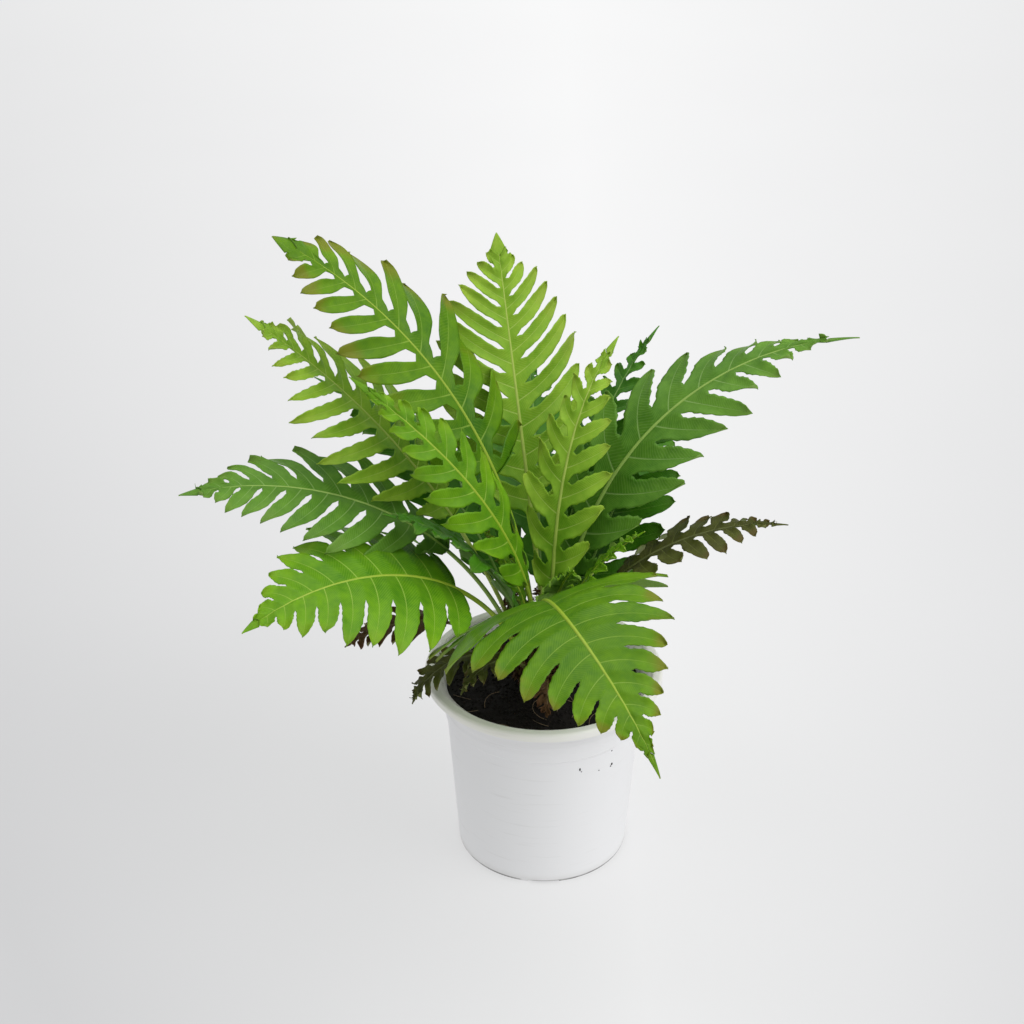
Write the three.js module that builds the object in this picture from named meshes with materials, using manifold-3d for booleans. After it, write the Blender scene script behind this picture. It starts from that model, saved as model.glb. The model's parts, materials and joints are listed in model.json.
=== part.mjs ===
// Potted fern: a leafy crown of deeply cut fronds in a white nursery pot.
// Millimetres, +Z up. The origin is the middle of the pot's underside, and
// the plant's front, where the broadest frond hangs over the rim, faces -Y.
import * as THREE from 'three';
import { mergeVertices } from 'three/addons/utils/BufferGeometryUtils.js';
import Module from 'manifold-3d';

const wasm = await Module();
wasm.setup();
const { Manifold, Mesh } = wasm;

// ---- pot ------------------------------------------------------------------
const POT_HEIGHT = 130;
const RIM_RADIUS = 75;
const BASE_RADIUS = 54.7;
const WALL = 1.6;
const FLOOR = 2;
const RIM_WIDTH = 7;
const RIM_DROP = 5.5;
const RIM_ROUND = 2.2;
const COLLAR_HEIGHT = 24;
const COLLAR_STEP = 1.2;
const COLLAR_FLARE = 5.2;
const HOLE_RADIUS = 4.5;
const HOLE_RING_RADIUS = 36;
const HOLE_COUNT = 8;
const NOTCH_WIDTH = 20;
const NOTCH_HEIGHT = 1.8;
const NOTCH_COUNT = 4;
const POT_SEGMENTS = 56;

// ---- potting mix and crown ------------------------------------------------
const HEADSPACE = 14;
const MIX_MOUND = 2.5;
const MIX_ROUGHNESS = 0.9;
const CROWN_RADIUS = 17;
const CROWN_RISE = 24;
const CROWN_DEPTH = 8;
const SOCKET_DEPTH = 5;
const FIT_GAP = 0.35;

// ---- fronds ---------------------------------------------------------------
const STALK_RADIUS = 1.5;
const TIP_RIB = 0.35;
const LOBE_THICKNESS = 1.1;
const PATH_STEPS = 60;
const STALK_STEPS = 5;

const degrees = THREE.MathUtils.degToRad;
const mix = THREE.MathUtils.lerp;
const smooth = (x) => THREE.MathUtils.smoothstep(x, 0, 1);

const mixLevel = POT_HEIGHT - HEADSPACE;
const crownBottom = mixLevel - CROWN_DEPTH;

// Every frond grows from the crown on its own seat: its ring, as a share of
// the crown's radius, and the angle round the pot's axis. It leaves on HEADING
// and swings round by TURN; it climbs at RISE degrees and ends at FALL degrees,
// and EASE above 1 keeps the bend for the end. STALK is bare stem. BASE is the
// blade's opening width and WEB its uncut part, as shares of the half WIDTH,
// and TAPER how soon it narrows. ANGLE is how far the lobes stand out from the
// midrib. Angles run from +X (right) towards +Y (back).
const FROND_KEYS = ['name', 'seat', 'seatAngle', 'heading', 'turn', 'length', 'rise', 'fall',
  'ease', 'stalk', 'lobes', 'width', 'base', 'taper', 'web', 'angle', 'roll', 'colour'];
const FRESH = 0x7cb83c;
const GREEN = 0x4f9430;
const BLUISH = 0x4a8f4f;
const DARK = 0x2f6428;
const OLIVE = 0x5b5a2c;
const BROWN = 0x6b4a2f;
const FRONDS = [
  ['frond_high_left', 0.35, 150, 142, 52, 332, 88, 33, 1, 128, 10, 60, 0.6, 0.7, 0.15, 66, -24, GREEN],
  ['frond_inner_left', 0.35, 240, 232, -62, 250, 86, 36, 1, 66, 9, 36, 0.5, 1, 0.28, 58, -50, FRESH],
  ['frond_mid_left', 0.6, 166, 157, 43, 295, 69, 41, 1, 110, 11, 64, 0.3, 1, 0.2, 68, -21, GREEN],
  ['frond_low_left', 0.76, 188, 185, 10, 278, 79, -8, 1, 104, 10, 62, 0.25, 1.1, 0.3, 62, -13, DARK],
  ['frond_front_left', 0.76, 214, 212, 5, 250, 77, -22, 1, 98, 9, 64, 0.75, 1.2, 0.5, 78, -17, FRESH],
  ['frond_front', 0.6, 266, 256, 60, 262, 88, -61, 1, 70, 11, 74, 1, 1.4, 0.5, 94, 15, GREEN],
  ['frond_top', 0.35, 60, 112, -4, 268, 72, 66, 1, 92, 11, 66, 0.45, 0.9, 0.25, 62, 0, FRESH],
  ['frond_inner_right', 0.35, 320, 70, -20, 222, 90, 30, 2, 50, 9, 38, 0.4, 0.9, 0.25, 60, 0, FRESH],
  ['frond_back_right', 0.6, 62, 68, -18, 232, 84, 26, 1, 66, 9, 36, 0.4, 1.2, 0.25, 62, 0, DARK],
  ['frond_high_right', 0.6, 10, 50, -66, 308, 90, 8, 1, 62, 10, 64, 0.35, 1.4, 0.4, 58, 15, BLUISH],
  ['frond_mid_right', 0.76, 42, 46, 0, 190, 68, 44, 1, 38, 8, 48, 0.4, 0.8, 0.2, 66, 0, DARK],
  ['frond_low_right', 0.76, 348, 354, 10, 192, 84, -8, 1, 80, 8, 30, 0.7, 1.2, 0.2, 72, 0, OLIVE],
  ['frond_back_left', 0.76, 152, 138, 24, 235, 76, 20, 1, 62, 9, 42, 0.4, 1.1, 0.25, 64, 0, DARK],
  ['frond_low_inner', 0.6, 222, 209, 0, 180, 85, 24, 1, 50, 7, 40, 0.6, 1, 0.5, 62, 0, DARK],
  ['frond_rear', 0.6, 96, 92, 0, 255, 66, -12, 1, 50, 10, 46, 0.5, 1.2, 0.3, 62, 0, DARK],
  ['frond_rear_right', 0.76, 70, 64, 0, 245, 62, -22, 1, 50, 10, 44, 0.5, 1.2, 0.3, 62, 0, DARK],
  ['frond_rear_left', 0.76, 118, 122, 0, 250, 64, -16, 1, 50, 10, 44, 0.5, 1.2, 0.3, 62, 0, DARK],
  ['young_frond_front', 0.35, 288, 288, 0, 110, 88, 40, 1, 34, 7, 20, 0.6, 1, 0.35, 60, 0, FRESH],
  ['young_frond_right', 0.35, 352, 350, 0, 118, 86, 36, 1, 40, 7, 20, 0.6, 1, 0.3, 60, 0, FRESH],
  ['young_frond_left', 0.35, 186, 168, 0, 100, 88, 52, 1, 40, 7, 18, 0.6, 1, 0.3, 60, 0, GREEN],
  ['old_frond_hanging', 0.82, 206, 202, 0, 96, 68, -70, 1, 40, 6, 20, 0.6, 1, 0.3, 60, 0, OLIVE],
  ['old_frond_inner', 0.82, 234, 222, 0, 76, 82, -50, 1, 30, 5, 14, 0.6, 1, 0.3, 60, 0, OLIVE],
  ['old_frond_left', 0.88, 196, 194, 0, 138, 74, -34, 1, 70, 7, 24, 0.6, 1, 0.2, 65, 0, BROWN],
  ['old_frond_front', 0.88, 280, 268, 0, 52, 88, -80, 1, 24, 4, 12, 0.6, 1, 0.3, 60, 0, BROWN],
].map((row) => Object.fromEntries(row.map((value, i) => [FROND_KEYS[i], value])));

// Shape of every blade along its length: lobes crowd towards the end of the
// lobed share, past which the blade runs out to a plain point. The half width
// grows over the first third and slims down again over the last one, and the
// cuts between the lobes grow shallow near the end.
const SPACING = 0.35;
const PEAK = 0.3;
const LOBED_SHARE = 0.92;
const EDGE_MARGIN = 1.2;
const SLIM_FROM = 0.7;
const SLIMMING = 0.55;
const WEB_CLOSES = 0.85;
const LEAN_LOSS = 0.35;
const KEEL = 0.12;
const DROOP = 0.25;
const SHOULDER = 0.75;
const SHOULDER_WIDTH = 0.62;
const LOBE_MIDDLE = 0.55;
const LOBE_THINNING = 0.7;

// ---- solids ---------------------------------------------------------------
function solid(geometry) {
  const bare = geometry.clone();
  bare.deleteAttribute('normal');
  bare.deleteAttribute('uv');
  const merged = mergeVertices(bare, 1e-4);
  const vertProperties = new Float32Array(merged.attributes.position.array);
  const triVerts = new Uint32Array(merged.index.array);
  return new Manifold(new Mesh({ numProp: 3, vertProperties, triVerts }));
}

function geometryOf(manifold) {
  const mesh = manifold.getMesh();
  const geometry = new THREE.BufferGeometry();
  geometry.setAttribute('position', new THREE.BufferAttribute(mesh.vertProperties, 3));
  geometry.setIndex(new THREE.BufferAttribute(mesh.triVerts, 1));
  geometry.computeVertexNormals();
  return geometry;
}

function lathe(points, segments) {
  const profile = points.map(([radius, height]) => new THREE.Vector2(radius, height));
  return new THREE.LatheGeometry(profile, segments).rotateX(Math.PI / 2);
}

function node(name, geometry, color, roughness) {
  const material = new THREE.MeshStandardMaterial({ color, roughness, metalness: 0 });
  const mesh = new THREE.Mesh(geometry, material);
  mesh.name = name;
  return mesh;
}

// ---- pot ------------------------------------------------------------------
const collarBottom = POT_HEIGHT - RIM_DROP - COLLAR_HEIGHT;
const skirtBottom = POT_HEIGHT - RIM_DROP;
const rimInner = RIM_RADIUS - RIM_WIDTH;
const collarRadius = rimInner - COLLAR_FLARE;
const bodyRadius = collarRadius - COLLAR_STEP;
const wallTop = skirtBottom - COLLAR_FLARE;

// Inside radius of the wall at a height, below the flare of the rim.
function insideRadius(height) {
  if (height >= collarBottom) return collarRadius - WALL;
  return mix(BASE_RADIUS, bodyRadius, height / collarBottom) - WALL;
}

function potSolid() {
  const outline = [
    [0, 0],
    [BASE_RADIUS - RIM_ROUND, 0],
    [BASE_RADIUS, RIM_ROUND],
    [bodyRadius, collarBottom - COLLAR_STEP],
    [collarRadius, collarBottom],
    [collarRadius, wallTop],
    [rimInner + WALL / 2, skirtBottom + WALL],
    [RIM_RADIUS - WALL, skirtBottom + WALL],
    [RIM_RADIUS - WALL, skirtBottom],
    [RIM_RADIUS, skirtBottom],
    [RIM_RADIUS, POT_HEIGHT - RIM_ROUND],
    [RIM_RADIUS - 0.3 * RIM_ROUND, POT_HEIGHT - 0.3 * RIM_ROUND],
    [RIM_RADIUS - RIM_ROUND, POT_HEIGHT],
    [rimInner + RIM_ROUND, POT_HEIGHT],
    [rimInner, POT_HEIGHT - RIM_ROUND],
    [collarRadius - WALL, wallTop],
    [collarRadius - WALL, collarBottom],
    [insideRadius(collarBottom - WALL), collarBottom - WALL],
    [insideRadius(FLOOR), FLOOR],
    [0, FLOOR],
  ];
  let pot = solid(lathe(outline, POT_SEGMENTS));
  for (let i = 0; i < HOLE_COUNT; i += 1) {
    const angle = (2 * Math.PI * (i + 0.5)) / HOLE_COUNT;
    const drill = new THREE.CylinderGeometry(HOLE_RADIUS, HOLE_RADIUS, 3 * FLOOR, 12);
    drill.rotateX(Math.PI / 2);
    drill.translate(HOLE_RING_RADIUS * Math.cos(angle), HOLE_RING_RADIUS * Math.sin(angle), FLOOR / 2);
    pot = pot.subtract(solid(drill));
  }
  for (let i = 0; i < NOTCH_COUNT; i += 1) {
    const notch = new THREE.BoxGeometry(4 * WALL, NOTCH_WIDTH, 2 * NOTCH_HEIGHT);
    notch.translate(BASE_RADIUS, 0, 0);
    notch.rotateZ((2 * Math.PI * (i + 0.5)) / NOTCH_COUNT + Math.PI / 4);
    pot = pot.subtract(solid(notch));
  }
  return pot;
}

// ---- crown ----------------------------------------------------------------
function crownHeight(radius) {
  const share = Math.sqrt(Math.max(0, 1 - (radius / CROWN_RADIUS) ** 2));
  return mixLevel + CROWN_RISE * share;
}

function crownOutline(grow) {
  const steps = 6;
  const points = [[0, crownBottom - grow], [0.7 * CROWN_RADIUS + grow, crownBottom - grow]];
  for (let i = 0; i <= steps; i += 1) {
    const angle = (Math.PI / 2) * (i / steps);
    points.push([
      (CROWN_RADIUS + grow) * Math.cos(angle),
      mixLevel + (CROWN_RISE + grow) * Math.sin(angle),
    ]);
  }
  points[points.length - 1][0] = 0;
  return points;
}

// ---- potting mix ----------------------------------------------------------
function mixSolid() {
  const bottom = FLOOR + FIT_GAP;
  const edge = insideRadius(mixLevel) - FIT_GAP;
  const mound = (radius) => mixLevel + MIX_MOUND * (1 - (radius / edge) ** 2);
  const outline = [
    [0, bottom],
    [insideRadius(FLOOR) - FIT_GAP, bottom],
    [insideRadius(collarBottom - WALL) - FIT_GAP, collarBottom - WALL],
    [edge, collarBottom + FIT_GAP],
    [edge, mixLevel],
  ];
  for (const share of [0.9, 0.75, 0.55, 0.35]) {
    outline.push([share * edge, mound(share * edge)]);
  }
  outline.push([0, mound(0)]);
  const geometry = lathe(outline, 40);
  const position = geometry.attributes.position;
  for (let i = 0; i < position.count; i += 1) {
    const x = position.getX(i);
    const y = position.getY(i);
    const z = position.getZ(i);
    const radius = Math.hypot(x, y);
    if (z > mixLevel && radius > 1) {
      const lumps = Math.sin(0.31 * x + 1) * Math.sin(0.27 * y + 2) + 0.5 * Math.sin(0.6 * x - 0.5 * y);
      position.setZ(i, z + MIX_ROUGHNESS * lumps);
    }
  }
  return solid(geometry).subtract(solid(lathe(crownOutline(FIT_GAP), 24)));
}

// ---- fronds ---------------------------------------------------------------
// Middle line of a frond with its sideways and upward directions at each step.
function frondPath(frond) {
  const seat = degrees(frond.seatAngle);
  const radius = frond.seat * CROWN_RADIUS;
  const point = new THREE.Vector3(
    radius * Math.cos(seat),
    radius * Math.sin(seat),
    crownHeight(radius) - SOCKET_DEPTH,
  );
  const frames = [];
  for (let i = 0; i <= PATH_STEPS; i += 1) {
    const share = i / PATH_STEPS;
    const pitch = degrees(mix(frond.rise, frond.fall, share ** frond.ease));
    const heading = degrees(frond.heading + frond.turn * share);
    const along = new THREE.Vector3(
      Math.cos(pitch) * Math.cos(heading),
      Math.cos(pitch) * Math.sin(heading),
      Math.sin(pitch),
    );
    const level = new THREE.Vector3(-Math.sin(heading), Math.cos(heading), 0);
    const up = new THREE.Vector3().crossVectors(along, level);
    const roll = degrees(frond.roll);
    const side = level.clone().multiplyScalar(Math.cos(roll)).addScaledVector(up, Math.sin(roll));
    const normal = new THREE.Vector3().crossVectors(along, side);
    frames.push({ point: point.clone(), along, side, normal });
    point.addScaledVector(along, frond.length / PATH_STEPS);
  }
  return frames;
}

function frameAt(frames, share) {
  const place = share * PATH_STEPS;
  const low = Math.min(PATH_STEPS - 1, Math.floor(place));
  const rest = place - low;
  const blend = (key) => frames[low][key].clone().lerp(frames[low + 1][key], rest);
  return { point: blend('point'), along: blend('along'), side: blend('side'), normal: blend('normal') };
}

function crowded(tau) {
  return LOBED_SHARE * (tau + SPACING * tau * (1 - tau));
}

// Place on the blade: TAU runs along it, REACH from the midrib (0) to the
// lobe tips (1), SIDE is 1 on the left of the direction of growth, -1 right.
function bladePoint(frond, frames, tau, reach, side) {
  const along = crowded(tau);
  const opening = mix(frond.base, 1, smooth(along / PEAK));
  const slim = 1 - SLIMMING * smooth((along - SLIM_FROM) / (1 - SLIM_FROM));
  const narrowing = (1 - along * along) ** frond.taper * slim;
  const half = frond.width * opening * narrowing + EDGE_MARGIN * (1 - along);
  const frame = frameAt(frames, (frond.stalk + along * (frond.length - frond.stalk)) / frond.length);
  const lean = degrees(frond.angle) * (1 - LEAN_LOSS * along);
  return frame.point
    .addScaledVector(frame.side, side * reach * half * Math.sin(lean))
    .addScaledVector(frame.along, reach * half * Math.cos(lean))
    .addScaledVector(frame.normal, half * (KEEL * reach - DROOP * reach * reach));
}

function webReach(frond, tau) {
  return mix(frond.web, 1, smooth((tau - WEB_CLOSES) / (1 - WEB_CLOSES)));
}

// Half thickness of the midrib at a share of the frond's whole length.
function ribHalf(share) {
  return mix(STALK_RADIUS, TIP_RIB, share);
}

// One closed skin: a four-sided stalk that opens into a blade, thick along the
// midrib and down the middle of each lobe, and sharp round its outline. The
// left lobes stand at odd stations and the right ones at even stations.
function frondGeometry(frond) {
  const frames = frondPath(frond);
  const corners = [];
  const faces = [];
  const steps = 2 * frond.lobes;
  const stalkShare = frond.stalk / frond.length;

  const vertex = (point) => corners.push(point.x, point.y, point.z) / 3 - 1;
  const pair = (point, normal, half) => [
    vertex(point.clone().addScaledVector(normal, half)),
    vertex(point.clone().addScaledVector(normal, -half)),
  ];
  const shareAt = (k) => mix(stalkShare, 1, crowded(k / steps));
  const ribPair = (share) => {
    const frame = frameAt(frames, share);
    return pair(frame.point, frame.normal, ribHalf(share));
  };

  // Stalk: rings of four corners, with a cap in the crown.
  const rings = [];
  for (let i = 0; i < STALK_STEPS; i += 1) {
    const share = (stalkShare * i) / STALK_STEPS;
    const { point, side } = frameAt(frames, share);
    const [top, under] = ribPair(share);
    const right = vertex(point.clone().addScaledVector(side, -ribHalf(share)));
    const left = vertex(point.clone().addScaledVector(side, ribHalf(share)));
    rings.push([top, right, under, left]);
  }
  const [capTop, capRight, capUnder, capLeft] = rings[0];
  faces.push(capTop, capLeft, capUnder, capTop, capUnder, capRight);
  for (let i = 0; i + 1 < STALK_STEPS; i += 1) {
    for (let k = 0; k < 4; k += 1) {
      const next = (k + 1) % 4;
      faces.push(rings[i][k], rings[i][next], rings[i + 1][next]);
      faces.push(rings[i][k], rings[i + 1][next], rings[i + 1][k]);
    }
  }

  // Blade: stations along the midrib from the last ring (-1) to the tip.
  const [endTop, endRight, endUnder, endLeft] = rings[STALK_STEPS - 1];
  const tip = vertex(frames[PATH_STEPS].point);
  const ribs = { [-1]: [endTop, endUnder], [steps]: [tip, tip] };
  for (let k = 0; k < steps; k += 1) ribs[k] = ribPair(shareAt(k));

  for (const side of [1, -1]) {
    const face = (a, b, c) => {
      for (const layer of [0, 1]) {
        const [x, y, z] = [a, b, c].map((corner) => corner[layer] ?? corner);
        const outward = (layer === 0) === (side === 1);
        if (x !== y && y !== z && z !== x) faces.push(x, outward ? y : z, outward ? z : y);
      }
    };
    const place = (k, reach, shift) => bladePoint(frond, frames, k / steps + shift, reach, side);
    const isLobe = (k) => k > 0 && k < steps && k % 2 === (side === 1 ? 1 : 0);
    const stations = { [-1]: { edge: side === 1 ? endLeft : endRight }, [steps]: { edge: tip } };
    for (let k = 0; k < steps; k += 1) {
      const web = webReach(frond, k / steps);
      if (!isLobe(k)) {
        stations[k] = { edge: vertex(place(k, web, 0)) };
        continue;
      }
      const shoulder = mix(web, 1, SHOULDER);
      const half = (LOBE_THICKNESS / 2) * (1 - LOBE_THINNING * (k / steps));
      stations[k] = {
        near: vertex(place(k, shoulder, -SHOULDER_WIDTH / steps)),
        point: vertex(place(k, 1, 0)),
        far: vertex(place(k, shoulder, SHOULDER_WIDTH / steps)),
        middle: pair(place(k, mix(web, 1, LOBE_MIDDLE), 0), frameAt(frames, shareAt(k)).normal, half),
      };
    }
    for (let k = -1; k < steps; k += 1) {
      const here = stations[k];
      const next = stations[k + 1];
      if (here.middle) {
        face(ribs[k], ribs[k + 1], next.edge);
        face(ribs[k], next.edge, here.middle);
        face(here.middle, next.edge, here.far);
        face(here.middle, here.far, here.point);
      } else if (next.middle) {
        face(ribs[k], ribs[k + 1], here.edge);
        face(ribs[k + 1], next.middle, here.edge);
        face(here.edge, next.middle, next.near);
        face(next.near, next.middle, next.point);
      } else {
        face(ribs[k], ribs[k + 1], next.edge);
        face(ribs[k], next.edge, here.edge);
      }
    }
  }

  const geometry = new THREE.BufferGeometry();
  geometry.setAttribute('position', new THREE.Float32BufferAttribute(corners, 3));
  geometry.setIndex(faces);
  geometry.computeVertexNormals();
  return geometry;
}

// The hollow in the crown that a stalk stands in.
function socketSolid(frond) {
  const frames = frondPath(frond);
  const reach = 3 * SOCKET_DEPTH;
  const start = frames[0];
  const drill = new THREE.CylinderGeometry(1, 1, reach + FIT_GAP, 8);
  const radius = (STALK_RADIUS + FIT_GAP) / Math.cos(Math.PI / 8);
  drill.scale(radius, 1, radius);
  drill.translate(0, (reach - FIT_GAP) / 2, 0);
  drill.applyMatrix4(new THREE.Matrix4().makeBasis(start.side, start.along, start.normal.clone().negate()));
  drill.translate(start.point.x, start.point.y, start.point.z);
  return solid(drill);
}

function crownSolid() {
  let crown = solid(lathe(crownOutline(0), 24));
  for (const frond of FRONDS) crown = crown.subtract(socketSolid(frond));
  return crown;
}

// ---- the plant in its pot -------------------------------------------------
const plant = new THREE.Group();
plant.add(node('pot', geometryOf(potSolid()), 0xe9e9e6, 0.45));
plant.add(node('potting_mix', geometryOf(mixSolid()), 0x17120f, 0.95));
plant.add(node('crown', geometryOf(crownSolid()), 0x4a3524, 0.9));
for (const frond of FRONDS) {
  plant.add(node(frond.name, frondGeometry(frond), frond.colour, 0.55));
}

export default plant;
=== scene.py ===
# %% [markdown]
# # A leafy fern in a white nursery pot
# Two makers share this object. A machine moulded the pot: one thin turned
# shell with a folded rim. The plant grew the rest: a scaly crown and
# twenty-four fronds, which all follow one rule with other numbers. So the pot
# is turned from an outline, and one Geometry Nodes tree grows every frond.
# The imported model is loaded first, because it says where each piece stands.

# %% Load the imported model
import functools
import json
import math
import random
from types import SimpleNamespace

import bmesh
import bpy
from mathutils import Matrix, Vector, noise


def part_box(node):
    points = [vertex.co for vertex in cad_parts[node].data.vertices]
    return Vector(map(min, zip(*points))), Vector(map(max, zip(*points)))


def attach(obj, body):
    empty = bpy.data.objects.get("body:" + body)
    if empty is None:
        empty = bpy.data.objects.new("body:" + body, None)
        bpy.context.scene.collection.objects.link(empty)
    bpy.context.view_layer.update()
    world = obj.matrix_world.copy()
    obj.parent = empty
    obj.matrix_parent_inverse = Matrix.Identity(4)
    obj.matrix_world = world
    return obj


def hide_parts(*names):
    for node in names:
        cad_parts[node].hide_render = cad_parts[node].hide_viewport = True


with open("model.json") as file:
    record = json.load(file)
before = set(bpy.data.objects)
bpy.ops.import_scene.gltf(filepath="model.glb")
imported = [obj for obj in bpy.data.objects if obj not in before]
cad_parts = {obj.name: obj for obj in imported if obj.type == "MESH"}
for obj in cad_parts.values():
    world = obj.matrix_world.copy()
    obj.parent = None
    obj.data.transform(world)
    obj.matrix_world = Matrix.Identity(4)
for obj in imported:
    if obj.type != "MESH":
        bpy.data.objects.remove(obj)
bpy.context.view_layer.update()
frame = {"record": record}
MM = 0.001
DEGREE = math.radians(1.0)
FULL_TURN = 2 * math.pi


def around(radius, angle, height=0.0):
    """A place at a distance and an angle round the upright axis."""
    return Vector((radius * math.cos(angle), radius * math.sin(angle), height))


# %% [markdown]
# ## Reading the slots
# The record says which material slot each node takes its finish from. Reading
# them from there keeps the looks and the record together.

# %% Material slot of each node
slots = {part["node"]: part["material_slot"] for part in frame["record"]["subparts"]}
print("slots:", sorted(set(slots.values())))

# %% [markdown]
# ## Writing sums as sums
# Both the frond tree and the materials need long sums, which are hard to read
# as chains of Math nodes. A small class makes each sum a line of Python: it
# adds one Math node per operation, and the tree stays an ordinary node tree.


# %% Numbers in a node tree
class Number:
    def __init__(self, socket):
        self.socket = socket

    def then(self, operation, *others):
        node = self.socket.id_data.nodes.new("ShaderNodeMath")
        node.operation = operation
        for entry, value in zip(node.inputs, (self, *others)):
            feed(value, entry)
        return Number(node.outputs[0])

    def __rsub__(self, other):
        return self * -1.0 + other

    def __rtruediv__(self, other):
        return self ** -1.0 * other


for sign, operation in dict(add="ADD", radd="ADD", mul="MULTIPLY", rmul="MULTIPLY",
                            sub="SUBTRACT", truediv="DIVIDE", pow="POWER").items():
    setattr(Number, f"__{sign}__", functools.partialmethod(Number.then, operation))


def feed(value, entry):
    """Links a Number or a socket to an input, or sets the input to a constant."""
    if isinstance(value, Number):
        value = value.socket
    if isinstance(value, bpy.types.NodeSocket):
        entry.id_data.links.new(value, entry)
    else:
        entry.default_value = value


def clamp(number):
    held = number.then("ADD", 0.0)
    held.socket.node.use_clamp = True
    return held


def smooth(number):
    """Eases from 0 to 1 as the number goes from 0 to 1."""
    share = clamp(number)
    return share * share * (3.0 - 2.0 * share)


def blend(first, second, share):
    """The number on the way from first to second."""
    return first + (second - first) * share


print("sums are ready")

# %% Nodes in one line
FAMILIES = ("GeometryNode", "ShaderNode", "FunctionNode")


def add_node(tree, kind, settings=None, **inputs):
    """One node of any family with its settings, and its inputs with _ for a space."""
    family = next(family for family in FAMILIES if hasattr(bpy.types, family + kind))
    node = tree.nodes.new(family + kind)
    for key, value in (settings or {}).items():
        setattr(node, key, value)
    for key, value in inputs.items():
        name = key.replace("_", " ")
        feed(value, next(entry for entry in node.inputs
                         if entry.enabled and entry.name == name))
    return node


def made(tree, kind, settings=None, **inputs):
    """The first output of such a node."""
    return add_node(tree, kind, settings, **inputs).outputs[0]


def out(node, name=None):
    """A node's enabled output as a Number, the first one or the one named."""
    return Number(next(socket for socket in node.outputs
                       if socket.enabled and name in (None, socket.name)))


print("nodes are ready")

# %% [markdown]
# ## Trees with named inputs
# A tree is a recipe, and its inputs are the sizes that differ from frond to
# frond. Each modifier input is set by the socket's identifier. Then the
# evaluated result is copied to a plain mesh, so that no modifier is left when
# the piece is handed to the frame.


# %% Making a tree and running it
def new_tree(name, inputs):
    tree = bpy.data.node_groups.new(name, "GeometryNodeTree")
    for label, kind in {"Geometry": "Geometry", **inputs}.items():
        tree.interface.new_socket(label, in_out="INPUT", socket_type=f"NodeSocket{kind}")
    tree.interface.new_socket("Geometry", in_out="OUTPUT", socket_type="NodeSocketGeometry")
    entry = tree.nodes.new("NodeGroupInput")
    return tree, {socket.name: socket for socket in entry.outputs if socket.name}


def end_tree(tree, geometry):
    """Realizes what is left as instances and closes the tree."""
    real = made(tree, "RealizeInstances", Geometry=geometry)
    tree.links.new(real, tree.nodes.new("NodeGroupOutput").inputs[0])


def evaluated_mesh(piece):
    """A plain copy of an object's mesh as its modifiers leave it."""
    evaluated = piece.evaluated_get(bpy.context.evaluated_depsgraph_get())
    return bpy.data.meshes.new_from_object(evaluated)


def run_tree(tree, mesh, name, values):
    """Runs the tree on a mesh and returns an object that holds the plain result."""
    source = place(name + "_source", mesh)
    modifier = source.modifiers.new(tree.name, "NODES")
    modifier.node_group = tree
    for item in tree.interface.items_tree:
        if item.in_out == "INPUT" and item.name in values:
            modifier[item.identifier] = values[item.name]
    result = evaluated_mesh(source)
    bpy.data.objects.remove(source)
    return place(name, result)


def place(name, mesh):
    mesh.name = name
    piece = bpy.data.objects.new(name, mesh)
    bpy.context.collection.objects.link(piece)
    return piece


def hand_over(piece, slot, *nodes):
    """Rides the piece on the one body and hides the imported nodes it replaces."""
    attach(piece, "root")
    if nodes:
        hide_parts(*nodes)


print("trees are ready")

# %% [markdown]
# ## Finishes: one shader frame for all
# Every finish here is a Principled shader whose colour is built up in coats
# over a base tone, with a bump from its own height. These helpers keep each
# finish down to what is special about it.


# %% Helpers for finishes
def new_finish(name):
    finish = bpy.data.materials.new(name)
    finish.use_nodes = True
    return finish, finish.node_tree, finish.node_tree.nodes["Principled BSDF"]


def colour(red, green, blue):
    """A colour given as on a paint chart, 0 to 255, turned to linear light."""
    return tuple(((part / 255 + 0.055) / 1.055) ** 2.4 for part in (red, green, blue)) + (1.0,)


def paint(tree, base, *coats):
    """Lays coats over a base tone, each one given as its share and its tone."""
    for share, tone in coats:
        node = add_node(tree, "Mix", {"data_type": "RGBA"}, Factor=share, A=base, B=tone)
        base = node.outputs[2]
    return base


def object_place(tree):
    return add_node(tree, "TexCoord").outputs["Object"]


def cloud(tree, scale, detail=4.0, roughness=0.55):
    """Soft noise over the object, about 0.5, with SCALE lumps to the metre."""
    return out(add_node(tree, "TexNoise", Vector=object_place(tree), Scale=float(scale),
                        Detail=float(detail), Roughness=float(roughness)))


def attribute(tree, name):
    return out(add_node(tree, "Attribute", {"attribute_name": name}), "Fac")


def dress(shader, tone, dullness, height, strength, depth, specular=0.5):
    """Wires a finish up: its colour, its roughness and its bump."""
    bumped = made(shader.id_data, "Bump", Height=height, Strength=strength, Distance=depth)
    for entry, value in {"Base Color": tone, "Roughness": dullness, "Normal": bumped,
                         "Specular IOR Level": specular}.items():
        feed(value, shader.inputs[entry])


print("finish helpers are ready")

# %% [markdown]
# ## Finish of a frond's blade
# A living blade is never one green. It is darker by the midrib, lighter towards
# its tips, and every lobe has a pale vein down its middle with fine veinlets
# leaving it. The UV map that the tree writes runs U across each lobe and V
# from midrib to lobe tip, so the veins are drawn from it and stay with the
# lobes however they bend. Old tips turn yellow and then brown. The underside
# is the same leaf, paler and duller.

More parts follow.
